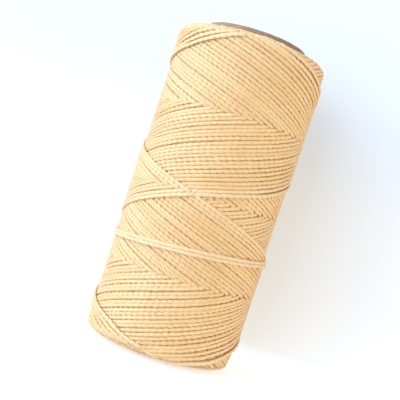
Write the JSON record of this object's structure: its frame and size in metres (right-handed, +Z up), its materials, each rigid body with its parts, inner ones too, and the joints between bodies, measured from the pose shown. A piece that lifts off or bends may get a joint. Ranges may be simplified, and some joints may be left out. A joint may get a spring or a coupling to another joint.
{
  "type": "waxed thread spool",
  "caption": "Waxed thread cross-wound on a paper tube, its end held by wraps round the package; it stands on the tube or turns on a peg through it.",
  "frame": {"origin": "centre of the tube's lower rim, on the surface that the spool stands on", "axes": "+Z up along the tube's axis; -Y is the side that the picture shows; +X is to its right, where the wraps stand higher"},
  "size_m": [0.0626, 0.0626, 0.127],
  "materials": {
    "kraft_paper": "matt brown board, cut edge with visible fibres",
    "kraft_liner": "smooth brown liner paper with a spiral seam",
    "waxed_thread": "twisted polyester thread with a light coat of wax, cream, slightly glossy"
  },
  "bodies": {
    "root": {"core_inner_ply": "kraft_liner", "core_middle_ply": "kraft_paper", "core_outer_ply": "kraft_liner", "thread_inner_layers": "waxed_thread", "outer_winding": "waxed_thread", "tie_off_wraps": "waxed_thread"}
  },
  "joints": []
}
